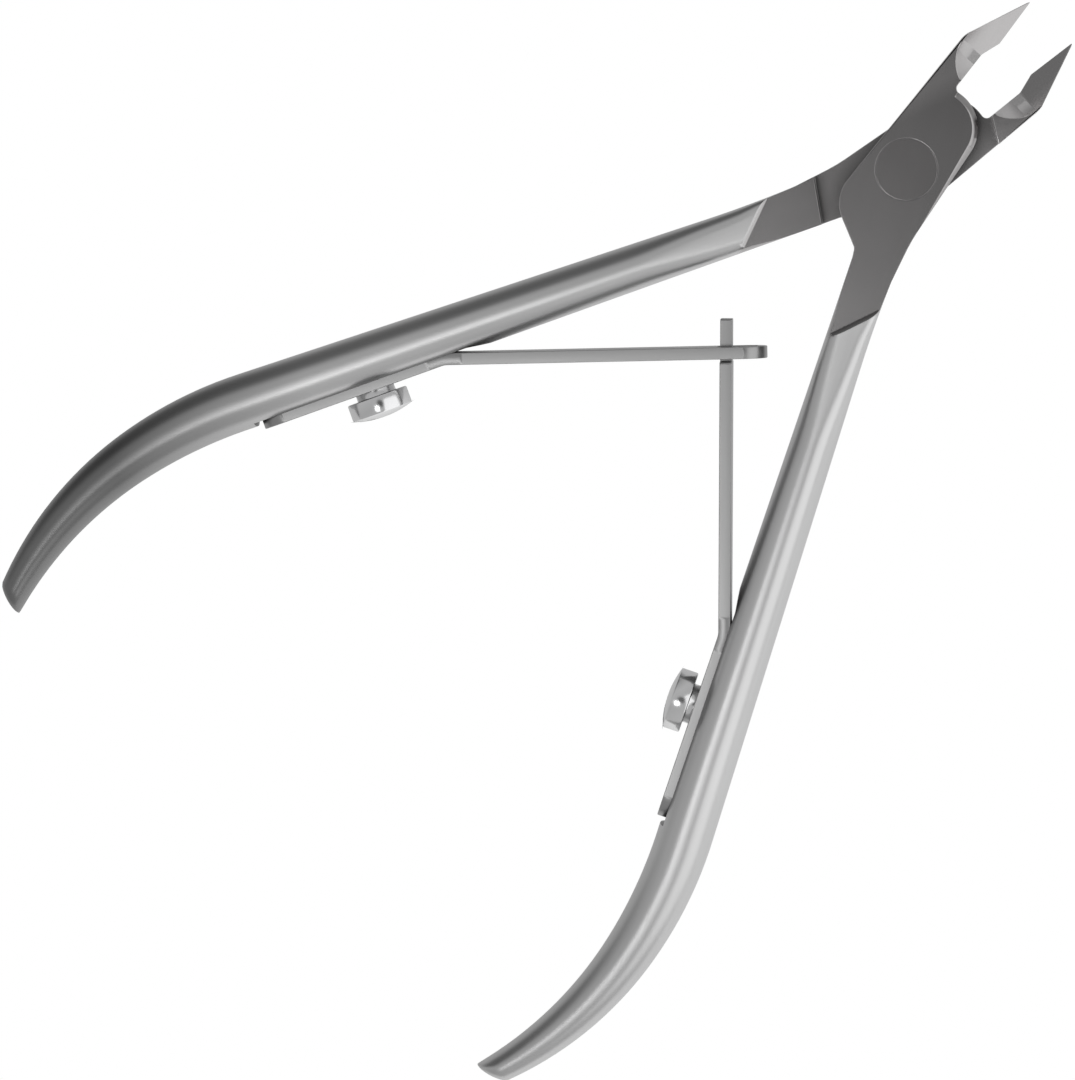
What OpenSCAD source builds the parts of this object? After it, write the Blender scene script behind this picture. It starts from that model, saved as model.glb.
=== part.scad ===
// Cuticle nipper: two forged levers on a flush rivet, held open by two interlocking leaf springs.
// +X runs along the tool towards the blade tips, +Y across it, +Z out of the hollow side of the jaws.
// The origin is on the pivot axis, on the flat back of the joint.
// Each lever is drawn in its own frame as if the jaws were shut, with its cutting edge on the X axis,
// its jaw on the -Y side and its handle on the +Y side, and is then swung open.

/* [Tool] */
// Angle that each lever is swung open from the shut position
open_half = 8; // [6:0.5:9]
// Gap left between the two halves of the lap joint
lap_gap = 0.04; // [0.02:0.01:0.1]

/* [Joint] */
// Thickness of the joint across both levers
joint_t = 6.4; // [5.6:0.2:7.2]
// Half the width of the joint's hub
hub_half_w = 3.8; // [3.5:0.1:4.2]
// Distance from the pivot to the front of the hub
hub_front = 8.65; // [8.4:0.05:9]
// Radius of the hub's front corner
hub_front_r = 3.9; // [3:0.1:4.2]

/* [Rivet] */
// Diameter of the rivet's shank
shank_d = 4; // [3:0.1:4.6]
// Diameter of the flush head on the hollow side
head_d = 5.78; // [5.4:0.02:6.2]
// Depth of the flush head
head_t = 1.2; // [0.8:0.1:1.6]
// Diameter of the closed end on the back
tail_d = 5.2; // [4.8:0.1:5.6]
// Depth of the closed end
tail_t = 0.9; // [0.6:0.1:1.2]
// Running clearance round the shank and the head
run_gap = 0.04; // [0.02:0.01:0.08]

/* [Jaws] */
// Distance from the pivot to the blade tips
tip_x = 19.7; // [18.5:0.1:21]
// Length of the cutting edge
edge_len = 5; // [4:0.5:6]
// How far each cutting edge stops short of the middle line
edge_gap = 0.02; // [0.01:0.01:0.05]
// Lean of the inner face of the blade from upright
face_lean = 24.9; // [22:0.1:28]
// Rise of the outer bevel from the cutting edge
bevel_rise = 30; // [25:1:35]
// Radius of the hollow ground behind the blade
hollow_r = 3.7; // [3.4:0.1:4]
// Distance from the pivot to the middle of the hollow
hollow_x = 12.9; // [12.6:0.1:13.2]
// Half the width of the relief slot behind the cutting edge
relief_half = 0.78; // [0.6:0.02:0.9]

/* [Handles] */
// Flare of the handle's outer line from the middle line, jaws shut
outer_flare = 19.25; // [18:0.25:20]
// Flare of the handle's inner line
inner_flare = 17.79; // [17:0.01:18.5]
// Radius of the first part of the bow at the end of the handle
bow_r = 40; // [36:1:44]
// Length of the first part of the bow
bow_len = 13.4; // [12:0.2:15]
// Radius of the rest of the bow
end_r = 34.8; // [33:0.2:37]
// Length of the rest of the bow
end_len = 19.7; // [18:0.1:21]
// Width of the handle across the palm
grip_w = 7.8; // [7:0.1:8.4]
// Width of the handle at the neck
neck_w = 7.1; // [6.8:0.1:7.4]
// Thickness of the handle at its tip
tip_t = 2.5; // [2:0.1:2.8]

/* [Springs] */
// Thickness of the leaf
leaf_t = 1.15; // [1:0.05:1.2]
// Width of the leaf
leaf_w = 4.6; // [4:0.1:5]
// Depth of the seat milled into the handle for the leaf's foot
seat_depth = 0.65; // [0.5:0.05:0.8]
// Length of the foot from the bend to its round end
foot_len = 18.4; // [17:0.1:20]
// Distance from the bend to the screw
screw_at = 7.35; // [7:0.05:9]
// Distance of the springs' crossing point behind the pivot
cross_x = 24.15; // [23.8:0.05:25]
// Angle of the blades of the leaves from the middle line
leaf_angle = 44.25; // [43.5:0.25:45]
// Distance from the start of the window to the crossing point
window_back = 0.85; // [0.8:0.01:0.9]
// How far the window runs on past the crossing point
window_front = 2.9; // [2.7:0.1:3]
// Width of the tongue
tongue_w = 2.2; // [1.8:0.1:2.4]
// Side clearance between the tongue and its window
tongue_gap = 0.2; // [0.15:0.05:0.3]

/* [Spring screws] */
// Diameter of the head
screw_head_d = 5.9; // [5.2:0.1:6.2]
// Height of the head's side
screw_side_h = 1.6; // [1.4:0.1:1.8]
// Height of the domed top
screw_dome_h = 0.5; // [0.4:0.05:0.6]
// Diameter of the threaded shank
screw_d = 2.5; // [2:0.1:2.6]
// Width of the driver slot
slot_w = 0.9; // [0.7:0.1:1]
// Depth of the driver slot
slot_depth = 0.45; // [0.4:0.05:0.7]

/* [Hidden] */

eps = 0.01;
far = 60;
mid_z = joint_t / 2;
arc_step = 5;

// Points on the lever, jaws shut, in the lever's own frame
edge_start = tip_x - edge_len;
relief_back = edge_start - 1.9;
jaw_shoulder = [13.3, -3.15, 2.2];
hub_line = hub_half_w + 0.15;
outer_start = [-16.3, 7.23];
// The front lever's hub reaches further back than the one it covers
hub_rear_front = [-6.13, -hub_line, 3.2];
crotch_front = [-8.75, 0.45, 0.7];
hub_rear_back = [-5.2, -hub_line, 2.6];
crotch_back = [-7.1, 0.02, 1.8];
// Where the outline stops, just inside the walls of the handle
neck_end = -9.5;
neck_low = 0.79;
neck_skin = 0.03;
neck_shoulder = [-5, hub_half_w + 0.55, 14];
shoulder_jaw = [9.46, -0.63, 8.24, -3.41];
shoulder_handle = [-7.46, 4.44, -9.05, 1.41];

// Handle: outer line straight, then the bow; stations are distances along the outer line
bow_start = 48.6;
end_start = bow_start + bow_len;
handle_len = end_start + end_len;
neck_t = 4.05;
bow_t = neck_t + bow_start * tan(outer_flare - inner_flare);
tip_narrowing = 2.4;
sweep_start = -10;
tip_round = 2.2;
tip_rings = 5;
ring_points = 24;
ring_step = 2.4;
// Past this station the neck swells towards the side of the hub, by neck_swell over swell_run
swell_end = 1.5;
swell_run = 11.75;
neck_swell = 0.6;

// Mill-off of the cheeks: where the flats stop on the handle, and how fast the surface climbs there
flat_end_outer = [-12.3, 5.6];
flat_end_inner = [-17.1, 3.1];
ramp = 40;

// Cutters of the jaw: how far they run past it, and where the bevel's run-out starts
jaw_run = 3;
jaw_reach = 8;
jaw_cut_h = 14;
bevel_x = 11.6;
bevel_run_out = 4;

seat_w = leaf_w + 0.1;
// The seat runs out under the blade along a slope, so that the folded blade finds room
seat_run = 5;
seat_slope = 8.6;
seat_past = 0.6;
seat_relief = 0.05;
knuckle_gap = 0.02;
shoulder_gap = 0.24;
hole_gap = 0.1;
collar_h = 0.6;
collar_d = 3.8;
slot_turn = 65;
tongue_reach = 3.2;
slotted_reach = 3.85;
shank_reach = 3.1;

function turn(p, a) = [p[0] * cos(a) - p[1] * sin(a), p[0] * sin(a) + p[1] * cos(a)];
function unit(v) = v / norm(v);

// Corner of an outline rounded to radius r: the arc's points, or the corner itself
function corner_arc(a, p, b, r) =
    r <= 0 ? [p] :
    let (
        u = unit(a - p),
        v = unit(b - p),
        half = acos(u * v) / 2,
        centre = p + unit(u + v) * r / sin(half),
        from = p + u * r / tan(half) - centre,
        to = p + v * r / tan(half) - centre,
        a0 = atan2(from[1], from[0]),
        sweep_raw = atan2(to[1], to[0]) - a0,
        sweep = sweep_raw > 180 ? sweep_raw - 360 : sweep_raw < -180 ? sweep_raw + 360 : sweep_raw,
        n = max(2, ceil(abs(sweep) / arc_step))
    )
    [for (i = [0:n]) centre + r * [cos(a0 + sweep * i / n), sin(a0 + sweep * i / n)]];

// Outline from a list of [x, y, corner radius]
function rounded(list) =
    let (n = len(list), xy = [for (q = list) [q[0], q[1]]])
    [for (i = [0:n - 1]) each corner_arc(xy[(i + n - 1) % n], xy[i], xy[(i + 1) % n], list[i][2])];

// Outline of the jaw, hub and neck, which runs on under the handle
function head_outline(front) = rounded([
    [tip_x, -edge_gap, 0],
    jaw_shoulder,
    front ? hub_rear_front : hub_rear_back,
    front ? crotch_front : crotch_back,
    [neck_end, neck_low, 0],
    [neck_end, neck_height(neck_end) - neck_skin, 0],
    neck_shoulder,
    [hub_front, hub_half_w - 0.15, hub_front_r],
    [hub_front, -relief_half - 0.1, 0.55],
    [relief_back, -relief_half, 0.8],
    [edge_start, -edge_gap, 0]
]);

// Handle: heading of the outer line at a station, and the point it has reached
function degrees(radians) = radians * 180 / PI;
function outer_angle(s) =
    outer_flare
    - degrees(max(0, min(s, end_start) - bow_start) / bow_r)
    - degrees(max(0, s - end_start) / end_r);
function outward(s) = let (a = outer_angle(s)) [sin(a), cos(a)];
function arc_step_to(from, to, r) = r * [sin(to) - sin(from), cos(to) - cos(from)];
function outer_point(s) =
    outer_start
    + min(s, bow_start) * [-cos(outer_flare), sin(outer_flare)]
    + (s > bow_start ? arc_step_to(outer_flare, outer_angle(min(s, end_start)), bow_r) : [0, 0])
    + (s > end_start ? arc_step_to(outer_angle(end_start), outer_angle(s), end_r) : [0, 0]);

// The neck's outer wall leaves the handle's straight line to meet the side of the hub
function swell(s) = neck_swell * pow(max(0, swell_end - s) / swell_run, 2);
function neck_height(x) =
    let (s = (outer_start[0] - x) / cos(outer_flare))
    outer_start[1] + s * sin(outer_flare) + swell(s) / cos(outer_flare);

// Distance between the handle's two lines, which taper together round the bow
function bow_share(s) = max(0, s - bow_start) / (bow_len + end_len);
function grip_t(s) =
    s <= bow_start ? neck_t + s * tan(outer_flare - inner_flare) :
    tip_t + (bow_t - tip_t) * (1 - pow(bow_share(s), 1.9));

// Width in Z: from the neck to the palm, then narrowing to the tip
function grip_z(s) =
    neck_w + (grip_w - neck_w) * (0.5 - 0.5 * cos(180 * min(1, max(0, s + 4) / 28)))
    - tip_narrowing * pow(bow_share(s), 2);

// Exponent of the section: nearly square where it leaves the hub, softer along the neck and an
// oval in the palm
function neck_share(s) = 0.5 + 0.5 * cos(180 * min(1, max(0, (s + 4) / 14)));
function section_exp(s) = 2.35 + 2.4 * neck_share(s) + 30 * pow(max(0, (-1 - s) / 8), 2);

// Share of the section left in the rounded end: an oblique cut in plan, rounder from the side
function end_share(s, e) =
    let (d = max(0, s - handle_len + tip_round) / tip_round) pow(max(0.02, 1 - pow(d, e)), 1 / e);

function signed_pow(v, e) = sign(v) * pow(abs(v), e);

function ring(s) =
    let (
        n = outward(s),
        inner = outer_point(s) - n * grip_t(s),
        half_t = (grip_t(s) + swell(s)) * end_share(s, 1.3) / 2,
        half_z = grip_z(s) / 2 * end_share(s, 2)
    )
    [for (i = [0:ring_points - 1])
        let (
            a = 360 * i / ring_points,
            e = 2 / section_exp(s),
            across = half_t + half_t * signed_pow(cos(a), e)
        )
        [inner[0] + n[0] * across, inner[1] + n[1] * across, mid_z + half_z * signed_pow(sin(a), e)]];

module handle() {
    stations = concat(
        [for (s = [sweep_start:ring_step:handle_len - tip_round]) s],
        [for (k = [0:tip_rings]) handle_len - tip_round * (1 - sin(90 * k / tip_rings))]
    );
    rings = len(stations);
    points = [for (s = stations) each ring(s)];
    walls = [for (r = [0:rings - 2], i = [0:ring_points - 1])
        let (j = (i + 1) % ring_points, a = r * ring_points, b = a + ring_points)
        each [[a + i, b + j, b + i], [a + i, a + j, b + j]]];
    start_cap = [for (i = [ring_points - 1:-1:0]) i];
    end_cap = [for (i = [0:ring_points - 1]) (rings - 1) * ring_points + i];
    polyhedron(points = points, faces = concat([start_cap], walls, [end_cap]), convexity = 6);
}

// Cutter that mills the cheek flat and climbs out of the handle past the line where the flat ends
module cheek_cut(side) {
    d = unit(flat_end_outer - flat_end_inner);
    heading = atan2(d[1], d[0]);
    z = side > 0 ? joint_t : 0;
    mill_h = 5;
    translate([flat_end_inner[0], flat_end_inner[1], z])
        rotate([0, 0, heading])
            difference() {
                translate([-far, -far, side > 0 ? 0 : -mill_h]) cube([2 * far, 2 * far, mill_h]);
                rotate([side * ramp, 0, 0])
                    translate([-far, -far, side > 0 ? -2 * far : 0]) cube([2 * far, 2 * far, 2 * far]);
            }
}

// Space above the leaning inner face of the blade, and the hollow behind it
module jaw_hollow() {
    translate([hollow_x, -edge_gap, 0])
        rotate([face_lean, 0, 0])
            translate([0, 0, -jaw_run]) {
                cube([far, jaw_reach, jaw_cut_h]);
                translate([0, hollow_r, 0]) cylinder(r = hollow_r, h = jaw_cut_h, $fn = 96);
            }
}

// Space under the outer bevel, which runs out in a curve towards the hub
module jaw_bevel() {
    translate([bevel_x, -edge_gap, 0])
        rotate([-bevel_rise, 0, 0]) {
            translate([0, -jaw_reach, -2 * jaw_run]) cube([far, jaw_reach, 2 * jaw_run]);
            translate([0, 0, -bevel_run_out])
                rotate([90, 0, 0]) cylinder(r = bevel_run_out, h = jaw_reach, $fn = 96);
        }
}

// Region of the hub that is cut to half thickness so that the other lever laps over it
module lap_region() {
    j = shoulder_jaw;
    h = shoulder_handle;
    jd = unit([j[0] - j[2], j[1] - j[3]]);
    hd = unit([h[0] - h[2], h[1] - h[3]]);
    polygon([
        [j[0], j[1]] + jd * 9,
        [j[2], j[3]] - jd * 4,
        [h[2], h[3]] - hd * 7,
        [h[0], h[1]] + hd * 5
    ]);
}

module screw_place() {
    at = bend_point() + screw_at * [-cos(inner_flare), sin(inner_flare)];
    translate([at[0], at[1], mid_z]) rotate([0, 0, 180 - inner_flare]) children();
}

// The bend of the leaf in the lever's frame: where the line of the foot meets the line of the blade
function foot_offset() = seat_depth - leaf_t / 2;
function inner_line_point() =
    outer_start - neck_t * [sin(outer_flare), cos(outer_flare)]
    + foot_offset() * [sin(inner_flare), cos(inner_flare)];
function cross_point() = turn([-cross_x, 0], open_half);
function bend_point() =
    let (
        p = inner_line_point(),
        c = cross_point(),
        tp = -tan(inner_flare),
        tc = -tan(leaf_angle - open_half),
        x = (c[1] - p[1] + tp * p[0] - tc * c[0]) / (tp - tc)
    )
    [x, p[1] + tp * (x - p[0])];
function leaf_reach() = norm(cross_point() - bend_point());

module spring_seat() {
    b = bend_point();
    translate([b[0], b[1], mid_z])
        rotate([0, 0, 180 - inner_flare])
            translate([0, 0, -seat_w / 2]) {
                translate([0, -leaf_t / 2, 0]) cube([foot_len + seat_past, 2 * leaf_t, seat_w]);
                rotate([0, 0, -seat_slope])
                    translate([-seat_run, -leaf_t / 2 - seat_relief, 0])
                        cube([seat_run + leaf_t / 2, 2 * leaf_t, seat_w]);
            }
}

module lever(front) {
    difference() {
        union() {
            translate([0, 0, -1]) linear_extrude(height = joint_t + 2) polygon(head_outline(front));
            handle();
        }
        cheek_cut(1);
        cheek_cut(-1);
        jaw_hollow();
        jaw_bevel();
        translate([0, 0, front ? -eps : mid_z - lap_gap / 2])
            linear_extrude(height = mid_z + lap_gap / 2 + eps) lap_region();
        spring_seat();
        screw_place() rotate([90, 0, 0]) cylinder(d = screw_d, h = shank_reach + 1, $fn = 48);
        children();
    }
}

module back_lever() {
    color("dimgray")
        rotate([0, 0, -open_half])
            lever(false) {
                translate([0, 0, -eps]) cylinder(d = shank_d, h = joint_t, $fn = 96);
                translate([0, 0, -eps]) cylinder(d = tail_d, h = tail_t + eps, $fn = 96);
            }
}

module front_lever() {
    color("gray")
        rotate([0, 0, open_half]) mirror([0, 1, 0])
            lever(true) {
                cylinder(d = shank_d + 2 * run_gap, h = joint_t + 1, $fn = 96);
                translate([0, 0, joint_t - head_t - run_gap])
                    cylinder(d = head_d + 2 * run_gap, h = head_t + 1, $fn = 96);
            }
}

module pivot_rivet() {
    color("darkgray") {
        cylinder(d = tail_d, h = tail_t, $fn = 96);
        cylinder(d = shank_d, h = joint_t - 0.3, $fn = 96);
        translate([0, 0, joint_t - head_t]) cylinder(d = head_d, h = head_t, $fn = 96);
    }
}

// Springs: x runs from the bend, y across the leaf's thickness, z across its width

module leaf_bar(length, width) {
    translate([0, -leaf_t / 2, -width / 2]) cube([length, leaf_t, width]);
}

// A strip from the bend with a round end
module round_ended(length) {
    intersection() {
        leaf_bar(length, leaf_w);
        union() {
            leaf_bar(length - leaf_w / 2, leaf_w);
            translate([length - leaf_w / 2, 0, 0])
                rotate([90, 0, 0]) cylinder(d = leaf_w, h = 2 * leaf_t, center = true, $fn = 72);
        }
    }
}

module knuckle(gap) {
    cylinder(r = leaf_t / 2 + gap, h = leaf_w + 2 * gap, center = true, $fn = 48);
}

module spring_foot() {
    b = bend_point();
    translate([b[0], b[1], mid_z])
        rotate([0, 0, 180 - inner_flare])
            difference() {
                round_ended(foot_len);
                knuckle(knuckle_gap);
                translate([screw_at, 0, 0])
                    rotate([90, 0, 0]) cylinder(d = screw_d + 2 * hole_gap, h = 3, center = true, $fn = 48);
            }
}

module blade_place() {
    b = bend_point();
    translate([b[0], b[1], mid_z]) rotate([0, 0, -(leaf_angle - open_half)]) children();
}

module slotted_blade() {
    reach = leaf_reach();
    window_w = tongue_w + 2 * tongue_gap;
    blade_place() {
        difference() {
            union() {
                round_ended(reach + slotted_reach);
                knuckle(0);
            }
            translate([reach - window_back, -leaf_t, -window_w / 2])
                cube([window_back + window_front, 2 * leaf_t, window_w]);
        }
    }
}

module tongue_blade() {
    reach = leaf_reach();
    shoulder = reach - leaf_t / 2 - shoulder_gap;
    blade_place() {
        leaf_bar(shoulder, leaf_w);
        leaf_bar(reach + tongue_reach, tongue_w);
        knuckle(0);
    }
}

module spring_screw() {
    under = leaf_t / 2;
    top = under + collar_h + screw_side_h;
    dome_r = (pow(screw_head_d / 2, 2) + pow(screw_dome_h, 2)) / (2 * screw_dome_h);
    screw_place() rotate([-90, 0, 0])
        difference() {
            union() {
                translate([0, 0, -shank_reach]) cylinder(d = screw_d, h = shank_reach + under, $fn = 48);
                translate([0, 0, under]) cylinder(d = collar_d, h = collar_h, $fn = 72);
                translate([0, 0, under + collar_h]) cylinder(d = screw_head_d, h = screw_side_h, $fn = 72);
                intersection() {
                    translate([0, 0, top]) cylinder(d = screw_head_d, h = screw_dome_h + 1, $fn = 72);
                    translate([0, 0, top + screw_dome_h - dome_r]) sphere(r = dome_r, $fn = 120);
                }
            }
            rotate([0, 0, slot_turn])
                translate([-slot_w / 2, -far / 2, top + screw_dome_h - slot_depth]) cube([slot_w, far, 2]);
        }
}

module on_back() { rotate([0, 0, -open_half]) children(); }
module on_front() { rotate([0, 0, open_half]) mirror([0, 1, 0]) children(); }

module slotted_spring_foot() { color("silver") on_back() spring_foot(); }
module slotted_spring_blade() { color("silver") on_back() slotted_blade(); }
module slotted_spring_screw() { color("gainsboro") on_back() spring_screw(); }
module tongue_spring_foot() { color("silver") on_front() spring_foot(); }
module tongue_spring_blade() { color("silver") on_front() tongue_blade(); }
module tongue_spring_screw() { color("gainsboro") on_front() spring_screw(); }

back_lever();
front_lever();
pivot_rivet();
slotted_spring_foot();
slotted_spring_blade();
slotted_spring_screw();
tongue_spring_foot();
tongue_spring_blade();
tongue_spring_screw();
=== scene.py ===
import math

import bpy
from mathutils import Matrix, Vector


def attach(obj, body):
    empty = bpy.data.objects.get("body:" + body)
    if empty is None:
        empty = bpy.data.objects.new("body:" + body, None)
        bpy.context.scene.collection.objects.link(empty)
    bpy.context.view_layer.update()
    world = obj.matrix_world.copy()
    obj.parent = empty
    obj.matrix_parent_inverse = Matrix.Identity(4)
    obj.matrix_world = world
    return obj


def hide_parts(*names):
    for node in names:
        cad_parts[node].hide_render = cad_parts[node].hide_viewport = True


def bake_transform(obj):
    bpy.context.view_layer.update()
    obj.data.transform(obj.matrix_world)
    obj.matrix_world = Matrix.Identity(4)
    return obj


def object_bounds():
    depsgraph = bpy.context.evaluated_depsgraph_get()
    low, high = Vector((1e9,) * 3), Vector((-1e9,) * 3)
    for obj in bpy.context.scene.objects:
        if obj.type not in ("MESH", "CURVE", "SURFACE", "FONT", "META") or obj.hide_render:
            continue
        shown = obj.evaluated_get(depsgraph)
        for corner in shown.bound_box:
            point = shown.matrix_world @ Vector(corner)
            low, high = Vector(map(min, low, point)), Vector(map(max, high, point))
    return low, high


# Cuticle nipper. Pieces are modelled in millimetres and shrunk to metres when they are finished.
# A lever is modelled with the jaws shut: tips on +X, jaw below the X axis, handle above it.

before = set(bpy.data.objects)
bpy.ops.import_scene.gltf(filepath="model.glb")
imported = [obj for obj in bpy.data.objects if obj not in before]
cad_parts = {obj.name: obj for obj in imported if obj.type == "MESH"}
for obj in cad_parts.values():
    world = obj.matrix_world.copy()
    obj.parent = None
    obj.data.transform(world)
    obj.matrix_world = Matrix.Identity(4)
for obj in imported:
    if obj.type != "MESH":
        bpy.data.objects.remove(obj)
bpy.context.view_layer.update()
print("frame loaded")

openHalf = 8  # degrees that each lever is swung open
jointHeight = 6.4
middleHeight = jointHeight / 2


def pick(piece):
    if bpy.context.object and bpy.context.object.mode != "OBJECT":
        bpy.ops.object.mode_set(mode="OBJECT")
    bpy.ops.object.select_all(action="DESELECT")
    piece.select_set(True)
    bpy.context.view_layer.objects.active = piece


def startEdit(piece, mode):
    # mode is VERT, EDGE or FACE, with nothing selected
    pick(piece)
    bpy.ops.object.mode_set(mode="EDIT")
    bpy.ops.mesh.select_mode(type=mode)
    bpy.ops.mesh.select_all(action="DESELECT")
    bpy.ops.object.mode_set(mode="OBJECT")


def edit():
    bpy.ops.object.mode_set(mode="EDIT")


def endEdit():
    bpy.ops.object.mode_set(mode="OBJECT")


def selectNear(piece, spot):
    startEdit(piece, "VERT")
    for vertex in piece.data.vertices:
        if (vertex.co - spot).length < 1e-4:
            vertex.select = True
    edit()


def move(piece, matrix):
    piece.data.transform(matrix)
    piece.data.update()


def tidyMesh(piece):
    startEdit(piece, "VERT")
    edit()
    bpy.ops.mesh.select_all(action="SELECT")
    bpy.ops.mesh.remove_doubles(threshold=0.0005)
    bpy.ops.mesh.normals_make_consistent(inside=False)
    endEdit()


def applyModifier(piece, kind, **settings):
    pick(piece)
    modifier = piece.modifiers.new(kind.title(), kind)
    for key, value in settings.items():
        setattr(modifier, key, value)
    bpy.ops.object.modifier_apply(modifier=modifier.name)


def combine(piece, other, operation):
    applyModifier(piece, "BOOLEAN", object=other, operation=operation, solver="EXACT")
    bpy.data.objects.remove(other)


def plate(name, corners, low, high):
    # corners are (x, y, radius); round corners are cut with a vertex bevel, then the face is pulled up
    bpy.ops.object.select_all(action="DESELECT")
    bpy.ops.mesh.primitive_circle_add(vertices=len(corners), radius=1, fill_type="NGON")
    piece = bpy.context.object
    piece.name = name
    for vertex, corner in zip(piece.data.vertices, corners):
        vertex.co = (corner[0], corner[1], low)
    count = len(corners)
    for i, (x, y, radius) in enumerate(corners):
        if radius > 0:
            spot = Vector((x, y, low))
            before = Vector((corners[i - 1][0], corners[i - 1][1], low)) - spot
            after = Vector((corners[(i + 1) % count][0], corners[(i + 1) % count][1], low)) - spot
            turn = math.pi - before.angle(after)
            steps = max(2, round(math.degrees(turn) / 4))
            selectNear(piece, spot)
            bpy.ops.mesh.bevel(
                offset=radius * math.tan(turn / 2), offset_type="OFFSET", affect="VERTICES", segments=steps
            )
            endEdit()
    startEdit(piece, "FACE")
    edit()
    bpy.ops.mesh.select_all(action="SELECT")
    bpy.ops.mesh.extrude_region_move(TRANSFORM_OT_translate={"value": (0, 0, high - low)})
    endEdit()
    tidyMesh(piece)
    return piece


def rectangle(left, right, low, high, radius=0):
    return [(left, low, radius), (right, low, radius), (right, high, radius), (left, high, radius)]


def rod(name, diameter, low, high, sides=128):
    bpy.ops.object.select_all(action="DESELECT")
    bpy.ops.mesh.primitive_cylinder_add(vertices=sides, radius=diameter / 2, depth=high - low)
    piece = bpy.context.object
    piece.name = name
    move(piece, Matrix.Translation((0, 0, (low + high) / 2)))
    return piece


def roundEdges(piece, width, angle, inside=None, segments=2):
    # bevels the edges sharper than angle; inside gives the share of the width for the edge's middle
    mesh = piece.data
    weight = mesh.attributes.new("bevel_weight_edge", "FLOAT", "EDGE")
    normals = {}
    for face in mesh.polygons:
        for key in face.edge_keys:
            normals.setdefault(key, []).append(face.normal.copy())
    for edge in mesh.edges:
        sides = normals.get(edge.key, [])
        middle = (mesh.vertices[edge.vertices[0]].co + mesh.vertices[edge.vertices[1]].co) / 2
        sharp = len(sides) == 2 and sides[0].angle(sides[1], 0) > math.radians(angle)
        if sharp:
            weight.data[edge.index].value = float(inside(middle)) if inside else 1
    applyModifier(
        piece, "BEVEL", limit_method="WEIGHT", width=width, segments=segments, use_clamp_overlap=False,
        loop_slide=True
    )
    kept = piece.data.attributes.get("bevel_weight_edge")
    if kept:
        piece.data.attributes.remove(kept)


def finishPiece(piece, matrix):
    # swings the piece to its place, turns millimetres into metres and smooths the shading
    move(piece, Matrix.Scale(0.001, 4) @ matrix)
    if matrix.determinant() < 0:
        piece.data.flip_normals()
    pick(piece)
    bpy.ops.object.shade_smooth_by_angle(angle=math.radians(30))
    applyModifier(piece, "WEIGHTED_NORMAL", weight=80, keep_sharp=True)
    return piece


onBack = Matrix.Rotation(math.radians(-openHalf), 4, "Z")
onFront = Matrix.Rotation(math.radians(openHalf), 4, "Z") @ Matrix.Scale(-1, 4, (0, 1, 0))


lever = {
    "tipX": 19.7,
    "edgeLength": 5,
    "edgeGap": 0.02,
    "hubFront": 8.65,
    "hubHalfWidth": 3.8,
    "hubFrontRadius": 3.9,
    "relief": 0.78,
    "lapGap": 0.04,
    "faceLean": 24.9,  # lean of the blade's inner face from upright
    "bevelRise": 30,  # rise of the outer bevel from the cutting edge
    "hollowX": 12.9,
    "hollowRadius": 3.7,
    "edgeRound": 0.07,  # rounding of the ground edges
    "hubBand": 0.5,  # widest chamfer round the front of the upper hub
    "jawRim": 0.16,  # wider rounding of the jaw's outer edge
    "jawCorner": (13.3, -3.15, 2.2),  # x, y and rounding
    "backHub": {"rear": -5.2, "rearRound": 2.6, "crotch": (-7.1, 0.02, 1.8)},
    "frontHub": {"rear": -6.13, "rearRound": 3.2, "crotch": (-8.75, 0.45, 0.7)},  # reaches further back
    "neckEnd": -9.5,
    "jawShoulder": ((9.46, -0.63), (8.24, -3.41)),  # the two lines where the lap joint ends
    "handleShoulder": ((-9.05, 1.41), (-7.46, 4.44)),
    "rivetBore": 5.84,
    "rivetBoreDepth": 1.24,
}


def headCorners(front):
    # the jaw and hub, each corner with its rounding; the outline ends just inside the handle's own walls
    h = lever
    hub = h["frontHub"] if front else h["backHub"]
    edgeStart = h["tipX"] - h["edgeLength"]
    neckTop = neckHeight(h["neckEnd"]) - 0.03
    return [
        (h["tipX"], -h["edgeGap"], 0),
        h["jawCorner"],
        (hub["rear"], -h["hubHalfWidth"] - 0.15, hub["rearRound"]),
        hub["crotch"],
        (h["neckEnd"], 0.79, 0),
        (h["neckEnd"], neckTop, 0),
        (-5, h["hubHalfWidth"] + 0.55, 14),
        (h["hubFront"], h["hubHalfWidth"] - 0.15, h["hubFrontRadius"]),
        (h["hubFront"], -h["relief"] - 0.1, 0.55),
        (edgeStart - 1.9, -h["relief"], 0.8),
        (edgeStart, -h["edgeGap"], 0),
    ]


handle = {
    "startX": -16.3,
    "startY": 7.23,
    "flare": 19.25,
    "innerFlare": 17.79,
    "neckSwell": 0.6,
    "straight": 48.6,
    "bowRadius": 40,
    "bowLength": 13.4,
    "endRadius": 34.8,
    "endLength": 19.7,
    "neckThickness": 4.05,
    "tipThickness": 2.5,
    "neckWidth": 7.1,
    "gripWidth": 7.8,
    "tipNarrowing": 2.4,
    "tipRound": 2.2,
    "firstStation": -10,
    "ringPoints": 72,
    "stations": 100,
    "rampAngle": 40,
    "flatEnd": ((-12.3, 5.6), (-17.1, 3.1)),  # outer and inner end of the line where the cheek flat stops
}


def arcFrom(angle, length, radius):
    # where an arc that starts at this heading has got to, and its new heading
    after = angle - length / radius
    return radius * Vector((math.sin(after) - math.sin(angle), math.cos(after) - math.cos(angle))), after


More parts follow.
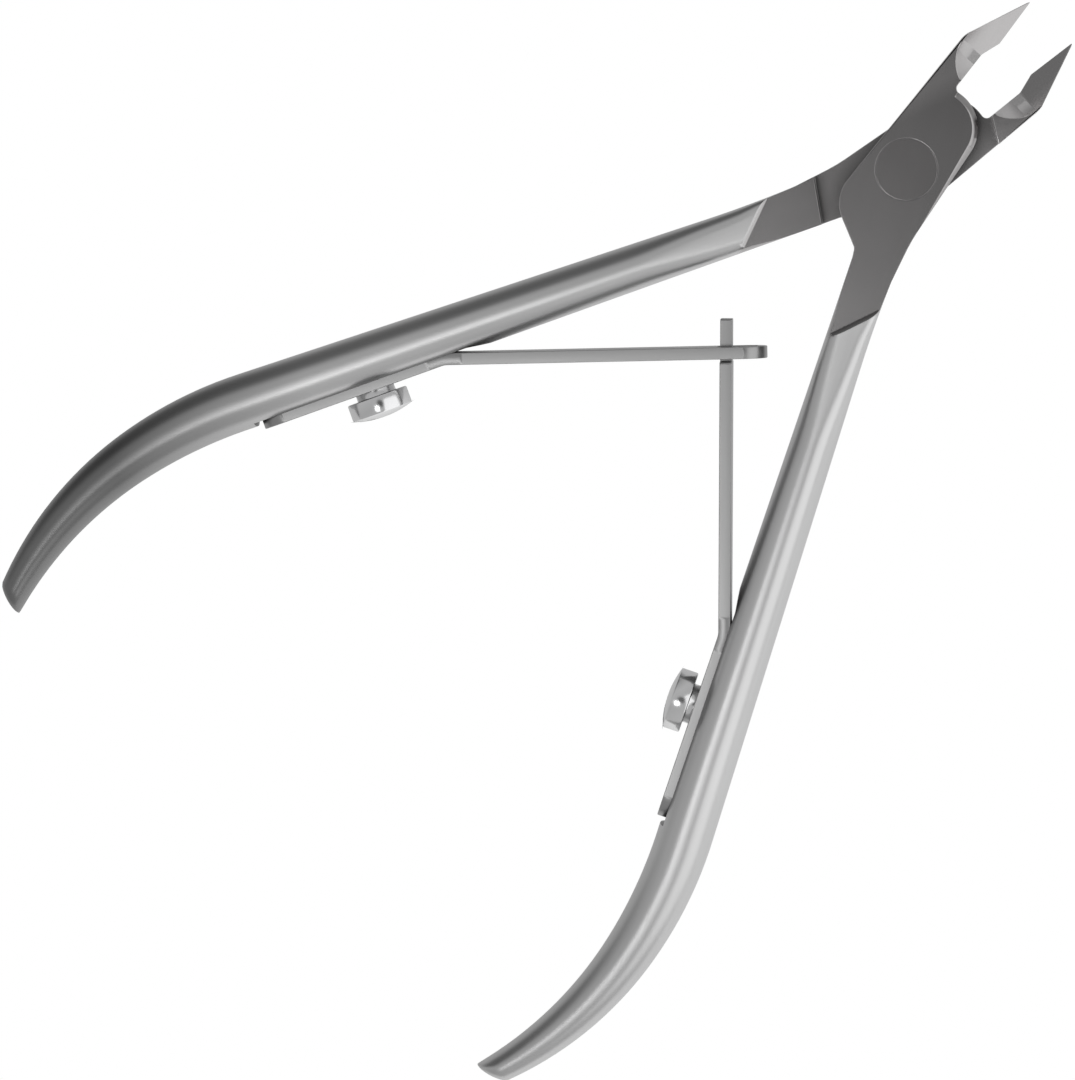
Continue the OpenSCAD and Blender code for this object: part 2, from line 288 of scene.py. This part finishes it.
def outerPath(s):
    # straight, then two arcs, the second a little tighter; gives the point and its heading
    heading = math.radians(handle["flare"])
    point = Vector((handle["startX"], handle["startY"]))
    point += min(s, handle["straight"]) * Vector((-math.cos(heading), math.sin(heading)))
    left = s - handle["straight"]
    if left > 0:
        step, heading = arcFrom(heading, min(left, handle["bowLength"]), handle["bowRadius"])
        point += step
    if left > handle["bowLength"]:
        step, heading = arcFrom(heading, left - handle["bowLength"], handle["endRadius"])
        point += step
    return point, heading


def neckSwell(s):
    # the neck's outer wall leaves the handle's straight line to meet the side of the hub
    return handle["neckSwell"] * (max(0, 1.5 - s) / 11.75) ** 2


def neckHeight(x):
    flare = math.radians(handle["flare"])
    s = (handle["startX"] - x) / math.cos(flare)
    return handle["startY"] + s * math.sin(flare) + neckSwell(s) / math.cos(flare)


bowLength = handle["bowLength"] + handle["endLength"]
handleLength = handle["straight"] + bowLength
spread = math.tan(math.radians(handle["flare"] - handle["innerFlare"]))


def bowShare(s):
    return max(0, s - handle["straight"]) / bowLength


def thickness(s):
    swollen = handle["neckThickness"] + min(s, handle["straight"]) * spread
    return handle["tipThickness"] + (swollen - handle["tipThickness"]) * (1 - bowShare(s) ** 1.9)


def gripWidth(s):
    grow = 0.5 - 0.5 * math.cos(math.pi * min(1, max(0, s + 4) / 28))
    width = handle["neckWidth"] + (handle["gripWidth"] - handle["neckWidth"]) * grow
    return width - handle["tipNarrowing"] * bowShare(s) ** 2


def endShare(s, exponent):
    d = max(0, s - handleLength + handle["tipRound"]) / handle["tipRound"]
    return max(0, 1 - d ** exponent) ** (1 / exponent)


def power(value, exponent):
    return math.copysign(abs(value) ** exponent, value)


def sectionPoint(s, turn):
    # nearly square where it leaves the hub, softer along the neck and an oval in the palm
    outer, angle = outerPath(s)
    normal = Vector((math.sin(angle), math.cos(angle)))
    neck = 0.5 + 0.5 * math.cos(math.pi * min(1, max(0, (s + 4) / 14)))
    roundness = 2.35 + 2.4 * neck + 30 * max(0, (-1 - s) / 8) ** 2
    half = (thickness(s) + neckSwell(s)) / 2 * endShare(s, 1.3)
    inner = outer - normal * thickness(s)
    across = half + half * power(math.cos(turn), 2 / roundness)
    up = gripWidth(s) / 2 * endShare(s, 2) * power(math.sin(turn), 2 / roundness)
    spot = inner + normal * across
    return Vector((spot.x, spot.y, middleHeight + up))


def stationAt(share):
    # stations crowd together round the tip
    body = 0.88
    first, tipRound = handle["firstStation"], handle["tipRound"]
    if share < body:
        return first + (handleLength - tipRound - first) * share / body
    turn = (share - body) / (1 - body) * math.pi / 2 * 0.995
    return handleLength - tipRound * (1 - math.sin(turn))


def makeHandle():
    bpy.ops.object.select_all(action="DESELECT")
    bpy.ops.mesh.primitive_cylinder_add(vertices=handle["ringPoints"], radius=1, depth=2)
    piece = bpy.context.object
    mesh = piece.data
    startEdit(piece, "EDGE")
    for edge in mesh.edges:
        a, b = (mesh.vertices[i].co for i in edge.vertices)
        edge.select = abs(a.z - b.z) > 1
    edit()
    bpy.ops.mesh.subdivide(number_cuts=handle["stations"] - 2)
    endEdit()
    for vertex in mesh.vertices:
        turn = math.atan2(vertex.co.y, vertex.co.x)
        share = (vertex.co.z + 1) / 2
        vertex.co = sectionPoint(stationAt(share), turn)
    tidyMesh(piece)
    return piece


def cheekCutter(side):
    # everything above the cheek flat, and above the ramp that climbs out of it into the handle
    outer, inner = (Vector(end) for end in handle["flatEnd"])
    direction = outer - inner
    rise = 12 * math.tan(math.radians(handle["rampAngle"]))
    cutter = plate("cheekCutter", [(-60, 0, 0), (0, 0, 0), (12, rise, 0), (12, 9, 0), (-60, 9, 0)], -60, 60)
    upright = Matrix(((0, 0, 1, 0), (1, 0, 0, 0), (0, side, 0, 0), (0, 0, 0, 1)))
    heading = Matrix.Rotation(math.atan2(direction.y, direction.x), 4, "Z")
    height = jointHeight if side > 0 else 0
    move(cutter, Matrix.Translation((inner.x, inner.y, height)) @ heading @ upright)
    tidyMesh(cutter)
    return cutter


def hollowCutter():
    r = lever["hollowRadius"]
    back = lever["hollowX"] - r
    cutter = plate("hollowCutter", [(40, 0, 0), (back, 0, r), (back, 8, 0), (40, 8, 0)], -4, 12)
    lean = Matrix.Rotation(math.radians(lever["faceLean"]), 4, "X")
    move(cutter, Matrix.Translation((0, -lever["edgeGap"], 0)) @ lean)
    return cutter


def bevelCutter():
    # profile in X and Z, pulled along Y: the flat under the outer bevel runs out in a curve
    cutter = plate("bevelCutter", [(40, 0, 0), (7.6, 0, 4), (7.6, -8, 0), (40, -8, 0)], 0, 9)
    upright = Matrix.Rotation(math.radians(90), 4, "X")
    rise = Matrix.Rotation(math.radians(-lever["bevelRise"]), 4, "X")
    move(cutter, Matrix.Translation((0, -lever["edgeGap"], 0)) @ rise @ upright)
    return cutter


def lapCutter(front):
    # takes away the half of the joint's thickness that the other lever fills
    gap = lever["lapGap"] / 2
    low, high = (-1, middleHeight + gap) if front else (middleHeight - gap, 8)
    jawShoulder = [Vector(end) for end in lever["jawShoulder"]]
    handleShoulder = [Vector(end) for end in lever["handleShoulder"]]
    jawWay = (jawShoulder[0] - jawShoulder[1]).normalized()
    handleWay = (handleShoulder[1] - handleShoulder[0]).normalized()
    ends = [
        jawShoulder[0] + jawWay * 9,
        jawShoulder[1] - jawWay * 4,
        handleShoulder[0] - handleWay * 7,
        handleShoulder[1] + handleWay * 5,
    ]
    return plate("lapCutter", [(end.x, end.y, 0) for end in ends], low, high)


def jawRim(middle):
    # the outer edge of the jaw from its shoulder to the tip
    first, last, lowest = 13.9, 19, 0.3
    outside = middle.y < -0.15 - (lever["tipX"] - middle.x) * 0.4
    return first < middle.x < last and middle.z > lowest and outside


def hubBand(middle):
    # the chamfer that widens round the front of the upper hub; the rivet's bore has none
    topFace, lowestY, start, growth = 6.3, -0.4, 0.5, 4
    inBore = math.hypot(middle.x, middle.y) < lever["rivetBore"] / 2 + 0.1
    if middle.z < topFace or middle.y < lowestY or inBore:
        return 0
    return max(0, min(1, (middle.x - start) / growth))


def makeLever(name, front):
    piece = plate(name, headCorners(front), -1, jointHeight + 1)
    combine(piece, makeHandle(), "UNION")
    for side in (1, -1):
        combine(piece, cheekCutter(side), "DIFFERENCE")
    combine(piece, hollowCutter(), "DIFFERENCE")
    combine(piece, bevelCutter(), "DIFFERENCE")
    combine(piece, lapCutter(front), "DIFFERENCE")
    if front:
        bore = rod("bore", lever["rivetBore"], jointHeight - lever["rivetBoreDepth"], jointHeight + 2)
    else:
        bore = rod("bore", rivet["tailDiameter"] + 0.06, -2, rivet["tailDepth"])
    combine(piece, bore, "DIFFERENCE")
    combine(piece, seatCutter(), "DIFFERENCE")
    tidyMesh(piece)
    roundEdges(piece, lever["jawRim"], 33, jawRim)
    if front:
        roundEdges(piece, lever["hubBand"], 33, hubBand, segments=1)
    roundEdges(piece, lever["edgeRound"], 33, lambda middle: middle.x > -9.3)
    return piece


spring = {
    "thickness": 1.15,
    "width": 4.6,
    "seatDepth": 0.65,
    "seatGap": 0.05,
    "seatEndGap": 0.6,
    "seatRun": 5,  # the seat runs out under the blade, where it folds
    "seatSlope": 8.6,
    "footLength": 18.4,
    "crossX": 24.15,
    "bladeAngle": 44.25,
    "bendRadius": 2.2,
    "windowBack": 0.85,
    "windowFront": 2.9,
    "windowWidth": 2.6,
    "slottedReach": 3.85,
    "tongueReach": 3.2,
    "tongueWidth": 2.2,
    "shoulderGap": 0.24,
    "cornerRound": 0.25,
    "tongueRound": 0.2,
    "edgeRound": 0.08,
}


def turned(point, degrees):
    angle = math.radians(degrees)
    x, y = point
    return Vector((x * math.cos(angle) - y * math.sin(angle), x * math.sin(angle) + y * math.cos(angle)))


def bendPoint():
    # where the line of the foot meets the line of the blade
    inner = math.radians(handle["innerFlare"])
    offset = spring["seatDepth"] - spring["thickness"] / 2
    outer, heading = outerPath(0)
    start = outer - handle["neckThickness"] * Vector((math.sin(heading), math.cos(heading)))
    start += offset * Vector((math.sin(inner), math.cos(inner)))
    cross = turned((-spring["crossX"], 0), openHalf)
    footSlope = -math.tan(inner)
    bladeSlope = -math.tan(math.radians(spring["bladeAngle"] - openHalf))
    x = (cross.y - start.y + footSlope * start.x - bladeSlope * cross.x) / (footSlope - bladeSlope)
    return Vector((x, start.y + footSlope * (x - start.x)))


bend = bendPoint()
bladeReach = (turned((-spring["crossX"], 0), openHalf) - bend).length
footTurn = math.radians(180 - handle["innerFlare"])
bladeTurn = math.radians(openHalf - spring["bladeAngle"])
atBend = Matrix.Translation((bend.x, bend.y, middleHeight))
footPlace = atBend @ Matrix.Rotation(footTurn, 4, "Z")


def seatCutter():
    # profile in the plane of the tool, with X along the foot
    wide = spring["width"] / 2 + 0.05
    deep = spring["thickness"] / 2
    gap = spring["seatGap"]
    run = spring["seatRun"]
    runOut = run * math.tan(math.radians(spring["seatSlope"]))
    end = spring["footLength"] + spring["seatEndGap"]
    corners = [
        (-run, runOut - deep - gap, 0), (0, -deep - gap, 0), (deep, -deep - gap, 0), (deep, -deep, 0),
        (end, -deep, 0), (end, deep + 0.6, 0), (-run, deep + 0.6, 0),
    ]
    cutter = plate("seatCutter", corners, -wide, wide)
    move(cutter, footPlace)
    return cutter


def makeLeaf(name, reach, slotted):
    # modelled flat: length along X with the bend at 0 and the foot on -X, width along Y, thickness along Z
    half = spring["width"] / 2
    foot = spring["footLength"]
    endRound = half * 0.98  # nearly a half circle
    corner = spring["cornerRound"]
    if slotted:
        front = [(reach, -half, endRound), (reach, half, endRound)]
    else:
        neck = bladeReach - spring["thickness"] / 2 - spring["shoulderGap"]
        tongue = spring["tongueWidth"] / 2
        tip = spring["tongueRound"]
        front = [
            (neck, -half, corner), (neck, -tongue, 0), (reach, -tongue, tip),
            (reach, tongue, tip), (neck, tongue, 0), (neck, half, corner),
        ]
    corners = front + [(-foot, half, endRound), (-foot, -half, endRound)]
    leaf = plate(name, corners, -spring["thickness"] / 2, spring["thickness"] / 2)
    if slotted:
        window = spring["windowWidth"] / 2
        start = bladeReach - spring["windowBack"]
        end = bladeReach + spring["windowFront"]
        combine(leaf, plate("window", rectangle(start, end, -window, window, corner), -2, 2), "DIFFERENCE")
    roundEdges(leaf, spring["edgeRound"], 40)
    # cuts across the strip give the bend its steps
    for i in range(-6, 7):
        startEdit(leaf, "VERT")
        edit()
        bpy.ops.mesh.select_all(action="SELECT")
        bpy.ops.mesh.bisect(plane_co=(i * 0.3, 0, 0), plane_no=(1, 0, 0))
        endEdit()
    bendLeaf(leaf)
    return leaf


def bendLeaf(leaf):
    # turns the flat leaf into its foot, a round bend and its blade
    total = bladeTurn - (footTurn - math.pi)
    radius = spring["bendRadius"]
    run = radius * math.tan(abs(total) / 2)
    arc = radius * abs(total)
    sign = math.copysign(1, total)
    for vertex in leaf.data.vertices:
        along, wide, thick = vertex.co
        if along < -arc / 2:
            spot = Vector((along + arc / 2 - run, 0))
            angle = 0
        elif along > arc / 2:
            angle = total
            spot = Vector((math.cos(angle), math.sin(angle))) * (run + along - arc / 2)
        else:
            angle = sign * (along + arc / 2) / radius
            spot = Vector((-run + radius * math.sin(abs(angle)), sign * radius * (1 - math.cos(angle))))
        across = Vector((-math.sin(angle), math.cos(angle))) * thick
        vertex.co = (spot.x + across.x, spot.y + across.y, wide)
    leaf.data.update()
    tidyMesh(leaf)
    move(leaf, atBend @ Matrix.Rotation(footTurn - math.pi, 4, "Z"))


screw = {
    "along": 7.35,  # from the spring's bend
    "headDiameter": 5.9,
    "sideHeight": 1.6,
    "domeHeight": 0.5,
    "collarHeight": 0.6,
    "collarDiameter": 3.8,
    "shankDiameter": 2.5,
    "shankReach": 3.1,
    "slotWidth": 0.9,
    "slotDepth": 0.45,
    "slotTurn": 65,
    "edgeRound": 0.12,
}


def makeScrew(name):
    s = screw
    under = spring["thickness"] / 2
    seat = under + s["collarHeight"]
    top = seat + s["sideHeight"]
    radius = s["headDiameter"] / 2
    piece = rod(name, s["headDiameter"], seat, top, 96)
    domeRadius = (radius ** 2 + s["domeHeight"] ** 2) / (2 * s["domeHeight"])
    # the top is inset in rings that are lifted to a low dome
    startEdit(piece, "FACE")
    for face in piece.data.polygons:
        face.select = face.normal.z > 0.9
    edit()
    rings = 10
    lifted = 0
    for i in range(1, rings):
        distance = radius * (1 - i / rings)
        height = math.sqrt(domeRadius ** 2 - distance ** 2) - (domeRadius - s["domeHeight"])
        bpy.ops.mesh.inset(thickness=radius / rings, depth=0)
        bpy.ops.transform.translate(value=(0, 0, height - lifted))
        lifted = height
    endEdit()
    combine(piece, rod("collar", s["collarDiameter"], under - 0.3, seat + 0.4, 64), "UNION")
    slotHalf = s["slotWidth"] / 2
    slotFloor = top + s["domeHeight"] - s["slotDepth"]
    slot = plate("slot", rectangle(-slotHalf, slotHalf, -9, 9), slotFloor, top + 3)
    move(slot, Matrix.Rotation(math.radians(s["slotTurn"]), 4, "Z"))
    combine(piece, slot, "DIFFERENCE")
    combine(piece, rod("shank", s["shankDiameter"], -s["shankReach"], under, 64), "UNION")
    tidyMesh(piece)
    roundEdges(piece, s["edgeRound"], 32, lambda middle: middle.z > seat - 0.01)
    upright = Matrix.Rotation(math.radians(-90), 4, "X")
    move(piece, footPlace @ Matrix.Translation((s["along"], 0, 0)) @ upright)
    return piece


rivet = {
    "headDiameter": 5.82,
    "headDepth": 1.2,
    "tailDiameter": 5.2,
    "tailDepth": 0.9,
    "shankDiameter": 4,
    "edgeRound": 0.07,
}


def makeRivet():
    r = rivet
    piece = rod("pivotRivet", r["headDiameter"], jointHeight - r["headDepth"], jointHeight)
    combine(piece, rod("shank", r["shankDiameter"], 0.2, jointHeight - 0.3), "UNION")
    combine(piece, rod("tail", r["tailDiameter"], 0, r["tailDepth"]), "UNION")
    tidyMesh(piece)
    roundEdges(piece, r["edgeRound"], 40)
    return piece


backLever = finishPiece(makeLever("backLever", False), onBack)
frontLever = finishPiece(makeLever("frontLever", True), onFront)
print("levers made")
slottedSpring = finishPiece(makeLeaf("slottedSpring", bladeReach + spring["slottedReach"], True), onBack)
tongueSpring = finishPiece(makeLeaf("tongueSpring", bladeReach + spring["tongueReach"], False), onFront)
slottedScrew = finishPiece(makeScrew("slottedSpringScrew"), onBack)
tongueScrew = finishPiece(makeScrew("tongueSpringScrew"), onFront)
pivotRivet = finishPiece(makeRivet(), Matrix.Identity(4))
print("springs, screws and rivet made")

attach(backLever, "back_half")
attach(frontLever, "front_half")
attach(pivotRivet, "back_half")
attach(slottedScrew, "back_half")
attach(tongueScrew, "front_half")


def flexSpring(leaf):
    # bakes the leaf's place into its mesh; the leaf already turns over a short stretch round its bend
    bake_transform(leaf)


flexSpring(slottedSpring)
flexSpring(tongueSpring)

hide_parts("back_lever")
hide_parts("front_lever")
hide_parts("pivot_rivet")
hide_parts("slotted_spring_foot", "slotted_spring_blade")
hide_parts("tongue_spring_foot", "tongue_spring_blade")
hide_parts("slotted_spring_screw")
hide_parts("tongue_spring_screw")
for piece, slot in (
    (backLever, "lever_steel"), (frontLever, "lever_steel"), (pivotRivet, "rivet_steel"),
    (slottedSpring, "spring_steel"), (tongueSpring, "spring_steel"),
    (slottedScrew, "screw_chrome"), (tongueScrew, "screw_chrome"),
):
    print(piece.name, len(piece.data.polygons), "faces")


class Wire:
    # one socket of a material or of the sky; arithmetic on wires adds the Math nodes
    def __init__(self, owner, socket):
        self.owner = owner
        self.socket = socket

    def math(self, operation, first, second):
        return self.owner.node("ShaderNodeMath", {"operation": operation}, {0: first, 1: second})

    def __add__(self, other):
        return self.math("ADD", self, other)

    __radd__ = __add__

    def __sub__(self, other):
        return self.math("SUBTRACT", self, other)

    def __rsub__(self, other):
        return self.math("SUBTRACT", other, self)

    def __mul__(self, other):
        return self.math("MULTIPLY", self, other)

    __rmul__ = __mul__

    def __truediv__(self, other):
        return self.math("DIVIDE", self, other)

    def __rtruediv__(self, other):
        return self.math("DIVIDE", other, self)


class Nodes:
    # the nodes of a material or of the sky, and the shader that they feed
    def __init__(self, owner, shader):
        owner.use_nodes = True
        self.data = owner
        self.tree = owner.node_tree
        self.shader = self.tree.nodes[shader]

    def node(self, kind, settings=None, inputs=None, output=0):
        made = self.tree.nodes.new(kind)
        for key, value in (settings or {}).items():
            if key == "stops":
                self.setStops(made.color_ramp.elements, value)
            else:
                setattr(made, key, value)
        for key, value in (inputs or {}).items():
            if isinstance(value, Wire):
                self.tree.links.new(value.socket, made.inputs[key])
            else:
                made.inputs[key].default_value = value
        return Wire(self, made.outputs[output])

    def setStops(self, elements, stops):
        # a new ramp has two stops, which become the first and the last
        for element, (place, level) in zip(elements, (stops[0], stops[-1])):
            element.position = place
            element.color = (level, level, level, 1)
        for place, level in stops[1:-1]:
            elements.new(place).color = (level, level, level, 1)

    def feed(self, key, wire):
        self.tree.links.new(wire.socket, self.shader.inputs[key])

    def ramp(self, wire, *stops):
        return self.node("ShaderNodeValToRGB", {"stops": stops}, {"Fac": wire})

    def dot(self, wire, way):
        return self.node(
            "ShaderNodeVectorMath", {"operation": "DOT_PRODUCT"}, {0: wire, 1: way}, output="Value"
        )

    def length(self, wire):
        return self.node("ShaderNodeVectorMath", {"operation": "LENGTH"}, {0: wire}, output="Value")


class Finish(Nodes):
    # a material with one Principled shader
    def __init__(self, name, **constants):
        super().__init__(bpy.data.materials.new(name), "Principled BSDF")
        for key, value in constants.items():
            self.shader.inputs[key.replace("_", " ")].default_value = value

    def place(self):
        return self.node("ShaderNodeTexCoord", output="Object")

    def streaks(self, heading, along, across, detail=3):
        # noise drawn out along a heading; along and across are lengths in millimetres
        aligned = self.node(
            "ShaderNodeMapping", {"vector_type": "POINT"},
            {"Vector": self.place(), "Rotation": (0, 0, -math.radians(heading))}
        )
        drawn = self.node(
            "ShaderNodeMapping", {"vector_type": "POINT"},
            {"Vector": aligned, "Scale": (1000 / along, 1000 / across, 1000 / across)}
        )
        return self.noise(drawn, 1, detail)

    def noise(self, place, scale, detail):
        return self.node(
            "ShaderNodeTexNoise", {"noise_dimensions": "3D"},
            {"Vector": place, "Scale": scale, "Detail": detail}
        )

    def blotches(self, size):
        return self.noise(self.place(), 1000 / size, 2)

    def mix(self, amount, first, second, blend="MIX"):
        return self.node(
            "ShaderNodeMix", {"data_type": "RGBA", "blend_type": blend},
            {"Factor": amount, "A": first, "B": second}, output="Result"
        )

    def tint(self, amount, low, high):
        # colour that runs from low to high
        return self.mix(amount, (*low, 1), (*high, 1))

    def shade(self, colour, amount):
        return self.mix(1, colour, amount, "MULTIPLY")

    def bump(self, height, strength, distance):
        return self.node(
            "ShaderNodeBump", None,
            {"Height": height, "Strength": strength, "Distance": distance}, output="Normal"
        )


def satinSteel(name, heading, dark, light, roughness, grain):
    steel = Finish(name, Metallic=1.0)
    fine = steel.streaks(heading, 6, 0.05)
    long = steel.streaks(heading, 30, 0.5, detail=2)
    cloudy = steel.blotches(14)
    steel.feed("Base Color", steel.tint(cloudy * 0.4 + long * 0.6, dark, light))
    steel.feed("Roughness", fine * 0.06 + cloudy * 0.05 + (roughness - 0.055))
    steel.feed("Normal", steel.bump(fine * 0.6 + long * 0.4, grain, 0.000006))
    return steel


def leverSteel(name, heading, placed, bowShade):
    # the milled joint is smoother than the satin handle, and its colour is darker as painted shade; the two
    # meet where the flat ends, and the bow at the handle's end is darkened by bowShade, a painted shade
    outer, inner = (Vector((*end, 0)) for end in handle["flatEnd"])
    line = outer - inner
    flatEnd = placed @ inner * 0.001
    flatWay = (placed @ Vector((-line.y, line.x, 0))).normalized()
    steel = Finish(name, Metallic=1.0)
    fine = steel.streaks(heading, 7, 0.06)
    long = steel.streaks(heading, 30, 0.6, detail=2)
    cloudy = steel.blotches(16)
    away = steel.length(steel.place())
    past = steel.dot(steel.place(), flatWay)
    satin = steel.ramp((past - flatEnd.dot(flatWay)) * 1000, (0, 0), (0.5, 1))
    # painted shade: the joint's colour is darker than the palm's, standing in for the dark that its flats
    # reflect
    joint = steel.tint(cloudy * 0.5 + long * 0.5, (0.39, 0.38, 0.38), (0.45, 0.44, 0.44))
    jaws = steel.ramp((flatEnd.dot(flatWay) - past) * 50, (0.74, 0), (0.84, 1))
    joint = steel.shade(joint, jaws * 0.45 + 1)
    palm = steel.tint(cloudy * 0.4 + long * 0.6, (0.62, 0.62, 0.62), (0.70, 0.70, 0.70))
    both = steel.mix(satin, joint, palm)
    # painted shade: an ambient-occlusion node darkens the colour in recesses and beside the hub's step
    recessShade = steel.node("ShaderNodeAmbientOcclusion", {"samples": 8}, {"Distance": 0.0014}, output="AO")
    # painted shade: the colour darkens from 60 to 80 mm from the pivot, down to bowShade at the bow
    bowShading = steel.ramp(away * 10, (0.6, 1), (0.8, bowShade))
    steel.feed("Base Color", steel.shade(both, (recessShade * 0.8 + 0.2) * bowShading))
    steel.feed("Roughness", fine * (satin * 0.08 + 0.02) + cloudy * 0.04 + satin * 0.13 + 0.16)
    steel.feed("Normal", steel.bump((fine * 0.6 + long * 0.4) * (satin * 0.8 + 0.2), 0.12, 0.000006))
    return steel


backHeading = 180 - handle["flare"] - openHalf
backSteel = leverSteel("satinSteelBack", backHeading, onBack, 0.35)
frontSteel = leverSteel("satinSteelFront", -backHeading, onFront, 0.9)
rivetSteel = satinSteel("groundRivetSteel", 30, (0.34, 0.33, 0.33), (0.38, 0.37, 0.37), 0.2, 0.02)
springSteelBack = satinSteel("springSteelBack", -44, (0.36, 0.36, 0.36), (0.42, 0.42, 0.42), 0.33, 0.15)
springSteelFront = satinSteel("springSteelFront", 44, (0.36, 0.36, 0.36), (0.42, 0.42, 0.42), 0.33, 0.15)


def polishedChrome(name):
    chrome = Finish(name, Metallic=1.0)
    cloudy = chrome.blotches(2.5)
    rings = chrome.streaks(60, 2, 0.12)
    chrome.feed("Base Color", chrome.tint(cloudy, (0.78, 0.78, 0.79), (0.86, 0.86, 0.86)))
    chrome.feed("Roughness", rings * 0.05 + cloudy * 0.05 + 0.12)
    chrome.feed("Normal", chrome.bump(rings, 0.15, 0.000004))
    return chrome


screwChrome = polishedChrome("polishedScrewChrome")


def paint(piece, finish):
    piece.data.materials.clear()
    piece.data.materials.append(finish.data)


paint(backLever, backSteel)
paint(frontLever, frontSteel)
paint(pivotRivet, rivetSteel)
paint(slottedSpring, springSteelBack)
paint(tongueSpring, springSteelFront)
paint(slottedScrew, screwChrome)
paint(tongueScrew, screwChrome)
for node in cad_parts.values():
    node.data.materials.clear()
    node.data.materials.append(backSteel.data)
print("finishes made")


stage = {
    "floorSize": 6,
    "floorDrop": 0.3,
    "overheadPlace": (-0.055, -0.08, 0.5),  # from the tool towards toRight, toTop and up
    "overheadSize": (0.12, 0.13),
    "overheadGlow": 3.0,
    "sidePlace": (0.55, -0.1, 0.42),
    "sideSize": (0.85, 1.0),
    "sideGlow": 0.65,
}
toRight = Vector((0.6997, -0.7145, 0))
toTop = Vector((0.7145, 0.6997, 0))
up = Vector((0, 0, 1))
centre = Vector((-0.0491, 0.0003, 0.0064))
litSide = (toRight * 0.5 - toTop * 0.87).normalized()  # the studio is pale on this side and dark on the other


def makeFloor():
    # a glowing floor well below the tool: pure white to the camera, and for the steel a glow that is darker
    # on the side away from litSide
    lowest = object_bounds()[0][2]
    bpy.ops.object.select_all(action="DESELECT")
    bpy.ops.mesh.primitive_plane_add(
        size=stage["floorSize"], location=(centre.x, centre.y, lowest - stage["floorDrop"])
    )
    floor = bpy.context.object
    floor.name = "floor"
    floorGlow = Finish("paleFloor", Roughness=0.9, Emission_Strength=1)
    floorGlow.shader.inputs["Base Color"].default_value = (0, 0, 0, 1)
    floorGlow.shader.inputs["Specular IOR Level"].default_value = 0
    across = floorGlow.dot(floorGlow.place(), litSide) / (floorGlow.length(floorGlow.place()) + 0.15)
    fall = floorGlow.ramp(across * 0.5 + 0.5, (0, 0.1), (0.13, 0.14), (0.22, 0.5), (0.5, 0.52), (0.9, 0.9))
    seen = floorGlow.node("ShaderNodeLightPath", output="Is Camera Ray")
    floorGlow.feed("Emission Color", floorGlow.mix(seen, fall, (1, 1, 1, 1)))
    paint(floor, floorGlow)


makeFloor()


def softbox(name, place, size, glow):
    # a rectangular lamp that faces the tool; glow is how bright its face looks
    spot = toRight * place[0] + toTop * place[1] + up * place[2]
    bpy.ops.object.select_all(action="DESELECT")
    bpy.ops.object.light_add(type="AREA", location=centre + spot)
    light = bpy.context.object
    light.name = name
    light.data.shape = "RECTANGLE"
    light.data.size, light.data.size_y = size
    light.data.energy = glow * math.pi * size[0] * size[1]
    facing = spot.normalized()
    width = (toRight - facing * toRight.dot(facing)).normalized()
    light.rotation_euler = Matrix((width, facing.cross(width), facing)).transposed().to_euler()
    light.visible_camera = False


softbox("overheadSoftbox", stage["overheadPlace"], stage["overheadSize"], stage["overheadGlow"])
softbox("sideSoftbox", stage["sidePlace"], stage["sideSize"], stage["sideGlow"])


def makeWorld():
    # dim all round, paler on the lit side, with a dark patch overhead
    world = bpy.data.worlds.new("studio")
    bpy.context.scene.world = world
    sky = Nodes(world, "Background")
    direction = sky.node("ShaderNodeTexCoord", output="Generated")
    litShare = sky.dot(direction, litSide) * 0.5 + 0.5
    fall = sky.ramp(litShare, (0, 0.1), (0.05, 0.13), (0.11, 0.38), (0.22, 0.5), (0.5, 0.42), (1, 0.5))
    sky.feed("Color", fall)
    patchMiddle = (toRight * 0.1 + toTop * 0.08 + up).normalized()
    nearMiddle = sky.dot(direction, patchMiddle)
    strength = sky.node(
        "ShaderNodeMapRange", None,
        {"Value": nearMiddle, "From Min": 0.97, "From Max": 0.992, "To Min": 1, "To Max": 0.15}
    )
    sky.feed("Strength", strength)


makeWorld()


def makeCamera():
    lean = math.radians(5.7)  # the camera stands a little towards the tips
    distance = 0.577
    away = Vector((math.sin(lean), 0, math.cos(lean)))
    bpy.ops.object.select_all(action="DESELECT")
    bpy.ops.object.camera_add(location=centre + away * distance)
    camera = bpy.context.object
    across = toTop.cross(away).normalized()
    upward = away.cross(across)
    camera.rotation_euler = Matrix((across, upward, away)).transposed().to_euler()
    camera.data.lens = 204
    camera.data.sensor_width = 36
    camera.data.clip_start = 0.01
    camera.data.clip_end = 20
    bpy.context.scene.camera = camera


makeCamera()
bpy.context.scene.view_settings.view_transform = "Standard"
print("studio made")
